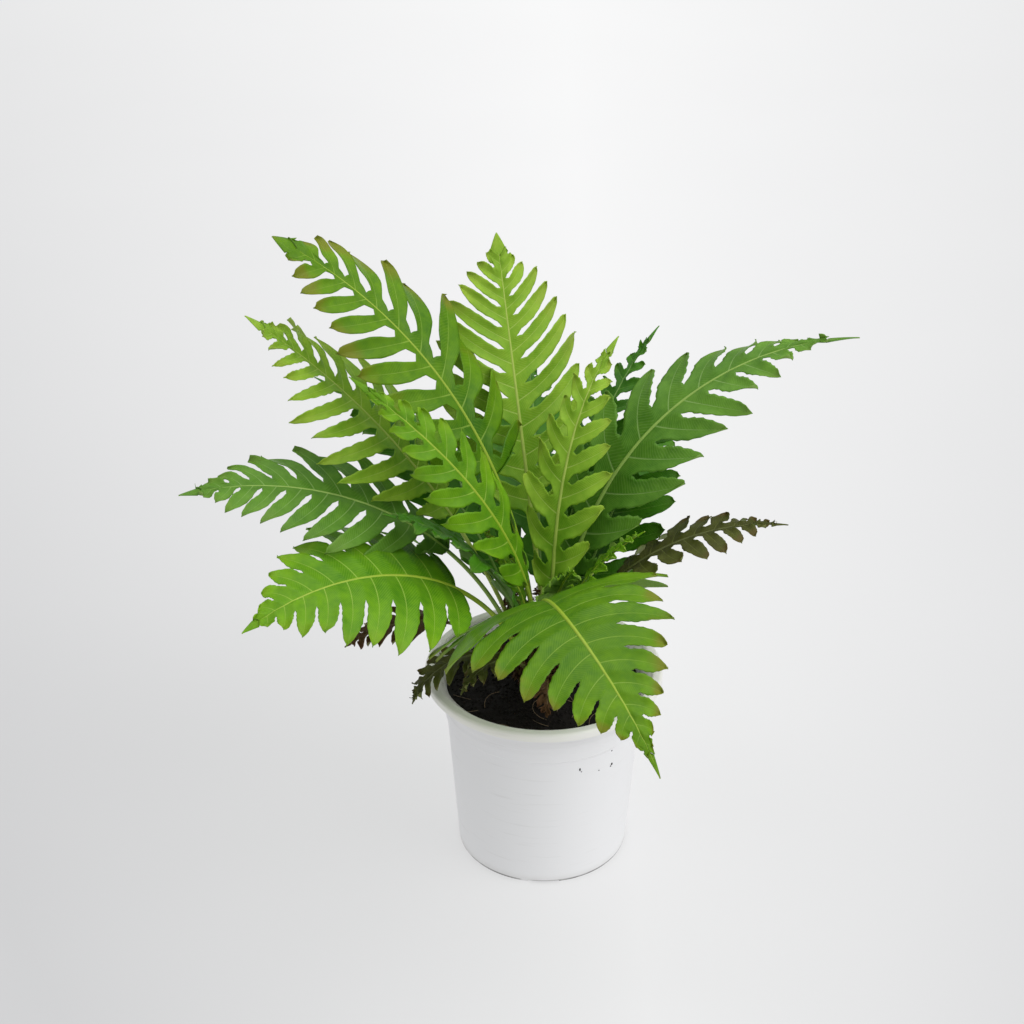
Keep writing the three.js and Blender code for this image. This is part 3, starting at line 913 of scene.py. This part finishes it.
def pot_outline():
    step_foot = COLLAR_BOTTOM - STEP_RISE
    outline = [(0.0, 0.0)]
    outline += arc((BASE_RADIUS - FOOT_ROUND, FOOT_ROUND), FOOT_ROUND, -90, 0)
    for share in (0.25, 0.5, 0.75):
        outline.append((body_radius(share * COLLAR_BOTTOM), share * COLLAR_BOTTOM))
    outline += [(body_radius(step_foot), step_foot),
                (BODY_RADIUS + 0.5 * COLLAR_STEP, COLLAR_BOTTOM - 0.7 * MM),
                (COLLAR_RADIUS, COLLAR_BOTTOM)]
    for height in MOULD_LINES:
        outline += mould_line(COLLAR_BOTTOM + height)
    outline += [(COLLAR_RADIUS, FLARE_BOTTOM), (COLLAR_RADIUS + FLARE_KNEE, SKIRT_BOTTOM),
                (RIM_INNER + WALL, POT_HEIGHT - 2.4 * WALL),
                (RIM_INNER + 2 * WALL, POT_HEIGHT - WALL),
                (RIM_RADIUS - 2 * WALL, POT_HEIGHT - WALL),
                (RIM_RADIUS - WALL, POT_HEIGHT - 2 * WALL)]
    outline += arc((RIM_RADIUS - 0.5 * WALL, SKIRT_BOTTOM + 0.45 * WALL), 0.5 * WALL, 180, 360, 8)
    outline += arc((RIM_RADIUS - RIM_ROUND, POT_HEIGHT - RIM_ROUND), RIM_ROUND, 0, 90, 8)
    outline += arc((RIM_INNER + RIM_ROUND, POT_HEIGHT - RIM_ROUND), RIM_ROUND, 90, 170, 8)
    outline += [(COLLAR_RADIUS - WALL + FLARE_KNEE, SKIRT_BOTTOM),
                (COLLAR_RADIUS - WALL, FLARE_BOTTOM), (COLLAR_RADIUS - WALL, COLLAR_BOTTOM),
                (BODY_RADIUS - WALL, step_foot),
                (body_radius(FLOOR_THICKNESS) - WALL, FLOOR_THICKNESS), (0.0, FLOOR_THICKNESS)]
    return outline


print("outline points:", len(pot_outline()))

# %% Drain holes and foot notches
HOLE_COUNT = 8
HOLE_RADIUS = 4.5 * MM
HOLE_RING_RADIUS = 36 * MM
NOTCH_COUNT = 4
NOTCH_DEPTH = 6.4 * MM
NOTCH_WIDTH = 20 * MM
NOTCH_HEIGHT = 1.8 * MM
POT_EDGE_ANGLE = 30


def pot_cutter():
    shape = bmesh.new()
    for i in range(HOLE_COUNT):
        angle = FULL_TURN * (i + 0.5) / HOLE_COUNT
        spot = Matrix.Translation(around(HOLE_RING_RADIUS, angle, FLOOR_THICKNESS / 2))
        bmesh.ops.create_cone(shape, cap_ends=True, segments=32, radius1=HOLE_RADIUS,
                              radius2=HOLE_RADIUS, depth=3 * FLOOR_THICKNESS, matrix=spot)
    for i in range(NOTCH_COUNT):
        angle = FULL_TURN * (i + 0.5) / NOTCH_COUNT + math.pi / 4
        turned = Matrix.Rotation(angle, 4, "Z") @ Matrix.Translation((BASE_RADIUS, 0, 0))
        turned = turned @ Matrix.Diagonal((NOTCH_DEPTH, NOTCH_WIDTH, 2 * NOTCH_HEIGHT, 1))
        bmesh.ops.create_cube(shape, size=1.0, matrix=turned)
    return shaped(shape, "pot_cutter", POT_EDGE_ANGLE)


def mould_pot():
    turned = turn(pot_outline(), POT_SEGMENTS)
    blank = shaped(turned, "pot_blank", POT_EDGE_ANGLE)
    cutter = pot_cutter()
    cut = blank.modifiers.new("drains", "BOOLEAN")
    cut.operation = "DIFFERENCE"
    cut.object = cutter
    mesh = evaluated_mesh(blank)
    for used in (blank, cutter):
        bpy.data.objects.remove(used)
    mesh.shade_smooth()
    mesh.set_sharp_from_angle(angle=math.radians(POT_EDGE_ANGLE))
    return place("pot_moulded", mesh)


pot = mould_pot()
print("pot faces:", len(pot.data.polygons))

# %% [markdown]
# ### White plastic that has stood in a nursery
# The plastic is a satin white. What makes it real is slight: the rim has
# yellowed in the sun, soil has left grey smears inside the rim, thin scratches
# run round the wall where pots were stacked, and the wall is dustier towards
# its foot. A thin dark line of painted contact shadow runs round the edge it
# stands on. All of it is placed by height, by distance from the axis and by
# noise in the pot's own coordinates.

# %% Pot finish
# Height of the thin line of painted contact shadow round the pot's foot.
FOOT_SHADOW_LINE = 1.4 * MM
SCRATCH_STRETCH = (1.0, 1.0, 22.0)


def pot_finish():
    finish, tree, shader = new_finish("white_plastic")
    split = add_node(tree, "SeparateXYZ", Vector=object_place(tree))
    height = out(split, "Z")
    level = height / POT_HEIGHT
    radius = (out(split, "X") ** 2.0 + out(split, "Y") ** 2.0) ** 0.5
    clouds = cloud(tree, 14)
    stretched = made(tree, "Mapping", Vector=object_place(tree), Scale=SCRATCH_STRETCH)
    lines = out(add_node(tree, "TexNoise", Vector=stretched, Scale=26.0, Detail=6.0))
    scratch = smooth((lines - 0.6) * 8.0)
    sunned = smooth((level - 0.9) * 12.0) * (clouds * 0.9)
    flare = clamp((height - FLARE_BOTTOM) / (POT_HEIGHT - FLARE_BOTTOM))
    inside = COLLAR_RADIUS - 0.5 * WALL + flare * COLLAR_FLARE
    soiled = smooth((level - 0.8) * 8.0) * (1.0 - smooth((radius - inside) / (0.5 * WALL)))
    grains = smooth((cloud(tree, 420, 6, 0.7) - 0.5) * 6.0)
    dusty = (1.0 - smooth(level * 16.0)) * cloud(tree, 90)
    # Painted contact shadow: a thin dark line round the foot, where the pot meets the floor, broken
    # up by noise.
    foot_shadow = 1.0 - smooth((height - FOOT_SHADOW_LINE).then("ABSOLUTE") / FOOT_SHADOW_LINE)
    foot_shadow = foot_shadow * smooth((cloud(tree, 30) - 0.33) * 7.0)
    # The last coat, in colour(64, 62, 57), is the painted contact shadow at the foot.
    skin = paint(tree, colour(242, 242, 243), (sunned * 0.8, colour(243, 241, 218)),
                 (scratch * 0.1, colour(176, 174, 168)),
                 (soiled * (grains * 0.45 + 0.1), colour(122, 110, 88)),
                 (dusty * 0.35, colour(150, 142, 128)), (foot_shadow * 0.9, colour(64, 62, 57)))
    dress(shader, skin, clouds * 0.14 + scratch * 0.12 + 0.34,
          clouds * 0.6 + scratch * 0.1 + cloud(tree, 900) * 0.04, 0.25, 0.5 * MM, 0.45)
    return finish


pot.data.materials.clear()
pot.data.materials.append(pot_finish())
hand_over(pot, slots["pot"], "pot")
print("pot finish:", pot.data.materials[0].name)

# %% [markdown]
# ## The potting mix
# Peat-based mix is near black when damp: a lumpy surface of crumbs with pale
# root hairs. The body is a turned solid that fills the pot to just below the
# rim, with its top pushed up and down by noise. Crumbs are scattered on the top
# by a tree, because hundreds of small lumps catch light that a bump can't.

# %% Peat finish
def peat_finish():
    finish, tree, shader = new_finish("damp_peat")
    lumps = cloud(tree, 190, 6, 0.7)
    flecks = smooth((cloud(tree, 700, 3) - 0.66) * 12.0)
    soil = paint(tree, colour(5, 4, 3), (lumps, colour(25, 18, 14)),
                 (flecks * 0.5, colour(104, 80, 56)))
    dress(shader, soil, lumps * 0.3 + 0.62, lumps + cloud(tree, 1200) * 0.4, 0.9, 0.8 * MM, 0.25)
    return finish


peat = peat_finish()
print("peat finish:", peat.name)

# %% Body of the mix
MIX_MOUND = 2.5 * MM
MIX_RINGS = 26
MIX_SEGMENTS = 120
FIT_GAP = 0.35 * MM


def mix_body():
    edge = COLLAR_RADIUS - WALL - FIT_GAP
    bottom = FLOOR_THICKNESS + FIT_GAP
    outline = [(0.0, bottom), (body_radius(FLOOR_THICKNESS) - WALL - FIT_GAP, bottom),
               (BODY_RADIUS - WALL - FIT_GAP, COLLAR_BOTTOM - 2 * MM),
               (edge, COLLAR_BOTTOM + FIT_GAP)]
    for i in range(MIX_RINGS + 1):
        share = 1 - i / MIX_RINGS
        outline.append((edge * share, MIX_LEVEL + MIX_MOUND * (1 - share**2)))
    shape = turn(outline, MIX_SEGMENTS)
    for vert in shape.verts:
        if vert.co.z >= MIX_LEVEL - 0.01 * MM:
            low = noise.noise(vert.co * 60) * 1.2
            fine = noise.noise(vert.co * 240) * 0.9 + noise.noise(vert.co * 520) * 0.5
            vert.co.z += (low + fine) * MM
    return shaped(shape, "mix_body", 60, peat)


mix_piece = mix_body()
print("mix top mm:", round(max(vert.co.z for vert in mix_piece.data.vertices) / MM, 1))

# %% [markdown]
# ### A tree that scatters
# Crumbs on the mix and scales on the crown are both small shapes strewn over a
# surface, so one tree does both. It takes the surface, how many shapes stand
# on a square metre, their size and how far they lie over, and a shape to copy.


# %% Scatter tree
def scatter_tree():
    inputs = {"Shape": "Object", "Density": "Float", "Size": "Float", "Spread": "Float",
              "Lean": "Float", "Seed": "Int", "Finish": "Material"}
    tree, entries = new_tree("strewn_shapes", inputs)
    seed = entries["Seed"]
    spots = add_node(tree, "DistributePointsOnFaces", Mesh=entries["Geometry"],
                     Density=entries["Density"], Seed=seed)
    shape = add_node(tree, "ObjectInfo", Object=entries["Shape"])
    lean = Number(entries["Lean"])
    back = lean * -1.0
    low = made(tree, "CombineXYZ", X=back, Y=back, Z=-math.pi)
    high = made(tree, "CombineXYZ", X=lean, Y=lean, Z=math.pi)
    spin = made(tree, "RandomValue", {"data_type": "FLOAT_VECTOR"}, Min=low, Max=high,
                Seed=seed)
    turned = made(tree, "RotateRotation", {"rotation_space": "LOCAL"},
                  Rotation=spots.outputs["Rotation"], Rotate_By=spin)
    chance = random_share(tree, out(add_node(tree, "InputIndex")), seed)
    spread = (chance - 0.5) * entries["Spread"]
    copies = made(tree, "InstanceOnPoints", Points=spots.outputs[0],
                  Instance=shape.outputs["Geometry"], Rotation=turned,
                  Scale=Number(entries["Size"]) * (1.0 + spread))
    real = made(tree, "RealizeInstances", Geometry=copies)
    end_tree(tree, made(tree, "SetMaterial", Geometry=real, Material=entries["Finish"]))
    return tree


strewn = scatter_tree()
print("scatter tree nodes:", len(strewn.nodes))


# %% Crumb shape and the strewn crumbs
def crumb_shape():
    shape = bmesh.new()
    bmesh.ops.create_icosphere(shape, subdivisions=1, radius=1.0)
    for vert in shape.verts:
        vert.co *= 0.8 + 0.45 * noise.noise(vert.co * 2.1)
    return shaped(shape, "crumb_shape", 20)


def surface_above(piece, height, reach):
    """A copy of the upward faces of a piece above a height and within a radius."""
    shape = bmesh.new()
    shape.from_mesh(piece.data)
    low = []
    for face in shape.faces:
        middle = face.calc_center_median()
        if middle.z < height or face.normal.z < 0.3 or middle.xy.length > reach:
            low.append(face)
    bmesh.ops.delete(shape, geom=low, context="FACES")
    return finish_mesh(shape, piece.name + "_top", 30)


crumb = crumb_shape()
mix_top = surface_above(mix_piece, MIX_LEVEL - 2 * MM, COLLAR_RADIUS - 3 * MM)
fine = run_tree(strewn, mix_top, "mix_crumbs", {
    "Shape": crumb, "Density": 190000.0, "Size": 0.9 * MM, "Spread": 1.4, "Lean": 3.0,
    "Seed": 4, "Finish": peat})
print("crumb faces:", len(fine.data.polygons))

# %% [markdown]
# ### Root hairs
# Pale rootlets and coir fibres lie on the mix in loose arcs. Each is a thin
# bent tube. A few dozen are enough, placed by a fixed seed.

# %% Rootlets
ROOTLETS = 46
ROOTLET_RADIUS = 0.16 * MM
ROOTLET_STEP = 1.8 * MM
ROOTLET_SIDES = 5
ROOTLET_SEED = 23


def add_ring(shape, last, sides, centre, across, up, radius):
    """Adds a ring to a thin tube, and the faces back to the last ring if there is one."""
    ring = []
    for k in range(sides):
        angle = FULL_TURN * k / sides
        offset = across * math.cos(angle) + up * math.sin(angle)
        ring.append(shape.verts.new(centre + offset * radius))
    for k in range(sides if last else 0):
        m = (k + 1) % sides
        shape.faces.new((last[k], last[m], ring[m], ring[k]))
    return ring


def rootlets(finish):
    draw = random.Random(ROOTLET_SEED)
    shape = bmesh.new()
    for _ in range(ROOTLETS):
        radius = (COLLAR_RADIUS - 6 * MM) * math.sqrt(draw.random())
        angle = draw.uniform(0, FULL_TURN)
        point = around(radius, angle)
        heading = draw.uniform(0, FULL_TURN)
        bend = draw.uniform(-0.35, 0.35)
        rise = draw.uniform(0.5, 2.2) * MM
        steps = draw.randint(8, 16)
        last = None
        for i in range(steps):
            if point.xy.length > COLLAR_RADIUS - 4 * MM:
                break
            level = MIX_LEVEL + MIX_MOUND * (1 - (point.xy.length / COLLAR_RADIUS) ** 2)
            high = level + 0.8 * MM + rise * math.sin(math.pi * (i / (steps - 1)))
            across = Vector((-math.sin(heading), math.cos(heading), 0))
            ring = add_ring(shape, last, ROOTLET_SIDES, Vector((point.x, point.y, high)), across,
                            Vector((0, 0, 1)), ROOTLET_RADIUS)
            if not last:
                shape.faces.new(ring)
            last = ring
            heading += bend
            point = point + around(1, heading) * ROOTLET_STEP
        shape.faces.new(last)
    bmesh.ops.recalc_face_normals(shape, faces=shape.faces)
    return shaped(shape, "rootlets", 60, finish)


def dry_finish(name, dark, light, scale, detail, grain, fibre, strength, depth):
    """Dry plant stuff in two tones: SCALE, GRAIN and FIBRE are lumps to the metre."""
    finish, tree, shader = new_finish(name)
    tone = paint(tree, dark, (cloud(tree, scale, detail), light))
    dress(shader, tone, cloud(tree, grain) * 0.3 + 0.5, cloud(tree, fibre), strength, depth)
    return finish


hairs = rootlets(dry_finish("root_hair", colour(58, 42, 30), colour(158, 136, 104), 120, 4, 500,
                            2000, 0.3, 0.1 * MM))
hand_over(mix_piece, slots["potting_mix"], "potting_mix")
hand_over(fine, slots["potting_mix"])
hand_over(hairs, slots["potting_mix"])
print("rootlet faces:", len(hairs.data.polygons))

# %% [markdown]
# ## The crown
# Fronds rise from a short thick rootstock that is covered in papery brown
# scales. The dome is turned and roughened by noise, then scales are strewn on
# it, leaning over each other, and on the foot of every stalk.

# %% Crown dome
SCALE_COVER = 1.2 * MM
DOME_STEPS = 12


def crown_dome():
    low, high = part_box("crown")
    reach = high.x - SCALE_COVER
    rise = high.z - MIX_LEVEL - SCALE_COVER
    outline = [(0.0, low.z), (0.7 * reach, low.z)]
    for i in range(DOME_STEPS + 1):
        angle = math.pi / 2 * i / DOME_STEPS
        width = reach * math.cos(angle) if i < DOME_STEPS else 0.0
        outline.append((width, MIX_LEVEL + rise * math.sin(angle)))
    shape = turn(outline, 48)
    for vert in shape.verts:
        vert.co += vert.co.normalized() * noise.noise(vert.co * 260) * 1.1 * MM
    return shaped(shape, "crown_dome", 60, scaly)


scaly = dry_finish("papery_scale", colour(44, 28, 16), colour(136, 98, 58), 260, 5, 600, 1500,
                   0.5, 0.2 * MM)
dome = crown_dome()
print("dome faces:", len(dome.data.polygons))

# %% One scale
SCALE_ROWS = ((0.0, 0.12), (0.3, 0.2), (0.65, 0.14), (1.0, 0.02))


def scale_shape():
    """One papery scale, a narrow curved tongue that stands on its root."""
    shape = bmesh.new()
    rows = []
    for height, half in SCALE_ROWS:
        curl = 0.35 * height**2
        rows.append([shape.verts.new((x * half, curl + 0.08 * abs(x), height)) for x in (-1, 0, 1)])
    for lower, upper in zip(rows, rows[1:]):
        for i in range(2):
            shape.faces.new((lower[i], lower[i + 1], upper[i + 1], upper[i]))
    bmesh.ops.solidify(shape, geom=list(shape.faces), thickness=0.05)
    bmesh.ops.recalc_face_normals(shape, faces=shape.faces)
    return shaped(shape, "scale_shape", 30)


scale = scale_shape()
print("scale faces:", len(scale.data.polygons))

# %% Stalk feet, which carry scales too
FOOT_LENGTH = 46
FOOT_SIDES = 8


def stalk_feet():
    shape = bmesh.new()
    for name in FRONDS:
        look = frond_look(name)
        line = midrib_mesh("foot", look)
        steps = max(2, round(PATH_STEPS * FOOT_LENGTH / look["length"]))
        last = None
        for i in range(1, steps + 1):
            side = Vector(line.attributes["side"].data[i].vector)
            up = Vector(line.attributes["normal"].data[i].vector)
            last = add_ring(shape, last, FOOT_SIDES, line.vertices[i].co, side, -up, STALK_RADIUS)
        bpy.data.meshes.remove(line)
    bmesh.ops.recalc_face_normals(shape, faces=shape.faces)
    return finish_mesh(shape, "stalk_feet", 60)


dome_top = surface_above(dome, MIX_LEVEL + 1 * MM, 1.0)
crown_scales = run_tree(strewn, dome_top, "crown_scales", {
    "Shape": scale, "Density": 380000.0, "Size": 5 * MM, "Spread": 0.9, "Lean": 0.9, "Seed": 9,
    "Finish": scaly})
foot_scales = run_tree(strewn, stalk_feet(), "stalk_scales", {
    "Shape": scale, "Density": 200000.0, "Size": 3.4 * MM, "Spread": 1.0, "Lean": 1.1, "Seed": 12,
    "Finish": scaly})
for used in (crumb, scale):
    bpy.data.objects.remove(used)
hand_over(dome, slots["crown"], "crown")
hand_over(crown_scales, slots["crown"])
hand_over(foot_scales, slots["crown"])
print("strewn faces:", len(crown_scales.data.polygons), len(foot_scales.data.polygons))

# %% [markdown]
# ## Specks of soil on the pot
# A few grains of damp mix stuck to the right of the wall when the pot was
# filled. They are real lumps, pressed flat against the plastic.

# %% Soil specks
SPECKS = ((21, 91.5, 0.5, 1.3), (22, 89.5, 0.35, 0.4), (34, 86, 0.45, 0.3), (43, 97, 0.5, 0.6),
          (44, 86, 0.8, 0.9), (43.2, 84.6, 0.5, 0.6))
SPECK_DEPTH = 0.35 * MM


def soil_specks():
    """Each speck is its angle to the right of the front, its height, half width and half height."""
    shape = bmesh.new()
    for angle, height, half_across, half_up in SPECKS:
        turned = Matrix.Rotation(math.radians(angle - 90), 4, "Z")
        moved = Matrix.Translation((body_radius(height * MM), 0, height * MM))
        sized = Matrix.Diagonal((SPECK_DEPTH, half_across * MM, half_up * MM, 1))
        bmesh.ops.create_icosphere(shape, subdivisions=2, radius=1.0,
                                   matrix=turned @ moved @ sized)
    for vert in shape.verts:
        vert.co.z += noise.noise(vert.co * 900) * 0.35 * MM
    return shaped(shape, "soil_specks", 40, peat)


specks = soil_specks()
hand_over(specks, slots["potting_mix"])
print("specks:", len(SPECKS))

# %% [markdown]
# ## Floor, light and camera
# The plant stands on a seamless pale sheet under a broad soft light from above
# and the right, so it hardly throws a shadow. The sheet mostly glows, which is
# painted light that keeps the shadows as faint as a studio's white table does.
# Its tone is painted darker at the sides and lighter towards the back, a painted
# falloff as where a lamp's light thins out.

# %% Floor
FLOOR_HALF = 12.0
FLOOR_GLOW = 1.03
UNLIT = (0.0, 0.0, 0.0, 1.0)


def pale_floor():
    shape = bmesh.new()
    bmesh.ops.create_grid(shape, x_segments=1, y_segments=1, size=FLOOR_HALF)
    finish, tree, shader = new_finish("pale_sheet")
    split = add_node(tree, "SeparateXYZ", Vector=object_place(tree))
    depth = out(split, "Y")
    aside = (out(split, "X") - 0.06).then("ABSOLUTE") / (depth + 1.0).then("MAXIMUM", 0.5)
    uneven = (cloud(tree, 3, 2) - 0.5) * 0.06
    # Painted light: the tone is painted lighter towards the back and darker at the sides, as a
    # lamp's light falls off.
    lightness = clamp(depth * 0.2 - aside * 1.3 + 0.58 + uneven)
    tone = paint(tree, colour(174, 174, 175), (lightness, colour(214, 214, 214)))
    # The sheet glows with its painted tone and its lit colour is halved, so a painted glow keeps
    # the shadows faint.
    for entry, value in {"Base Color": paint(tree, tone, (0.5, UNLIT)), "Emission Color": tone,
                         "Emission Strength": FLOOR_GLOW, "Roughness": 0.9,
                         "Specular IOR Level": 0.1}.items():
        feed(value, shader.inputs[entry])
    return shaped(shape, "floor", 30, finish)


pale_floor()
print("floor half width m:", FLOOR_HALF)

# %% Lights
AIM = Vector((0.0, 0.0, 0.2))
AIR_TONE = (0.98, 0.99, 1.0, 1.0)
AIR_STRENGTH = 0.555


def soft_light(name, spot, width, power):
    """A round lamp of a width in metres and a power in watts, turned to the plant."""
    lamp = bpy.data.lights.new(name, "AREA")
    lamp.shape = "DISK"
    lamp.size = width
    lamp.energy = power
    holder = bpy.data.objects.new(name, lamp)
    bpy.context.collection.objects.link(holder)
    holder.location = spot
    holder.rotation_euler = (AIM - Vector(spot)).to_track_quat("-Z", "Y").to_euler()


soft_light("key_light", (1.5, -0.9, 2.0), 2.2, 31)
soft_light("top_light", (-0.3, 0.5, 2.4), 2.0, 16)
world = bpy.data.worlds.new("studio_air")
bpy.context.scene.world = world
world.use_nodes = True
air = world.node_tree.nodes["Background"]
air.inputs["Color"].default_value = AIR_TONE
air.inputs["Strength"].default_value = AIR_STRENGTH
bpy.context.scene.view_settings.view_transform = "Standard"
print("lights are set")

# %% [markdown]
# ### Camera
# The camera looks down on the plant from the front, from a little over a metre
# away and well above it, through a long lens that keeps the pot's sides calm.

# %% Camera
CAMERA_SPOT = (-0.020, -1.054, 0.8316)
CAMERA_TILT = 60.75
LENS_MM = 70.3125
SENSOR_MM = 36.0
lens = bpy.data.cameras.new("camera")
lens.lens = LENS_MM
lens.sensor_width = SENSOR_MM
camera = bpy.data.objects.new("camera", lens)
bpy.context.collection.objects.link(camera)
camera.location = CAMERA_SPOT
camera.rotation_euler = (math.radians(CAMERA_TILT), 0.0, 0.0)
bpy.context.scene.camera = camera
print("camera at", tuple(camera.location))
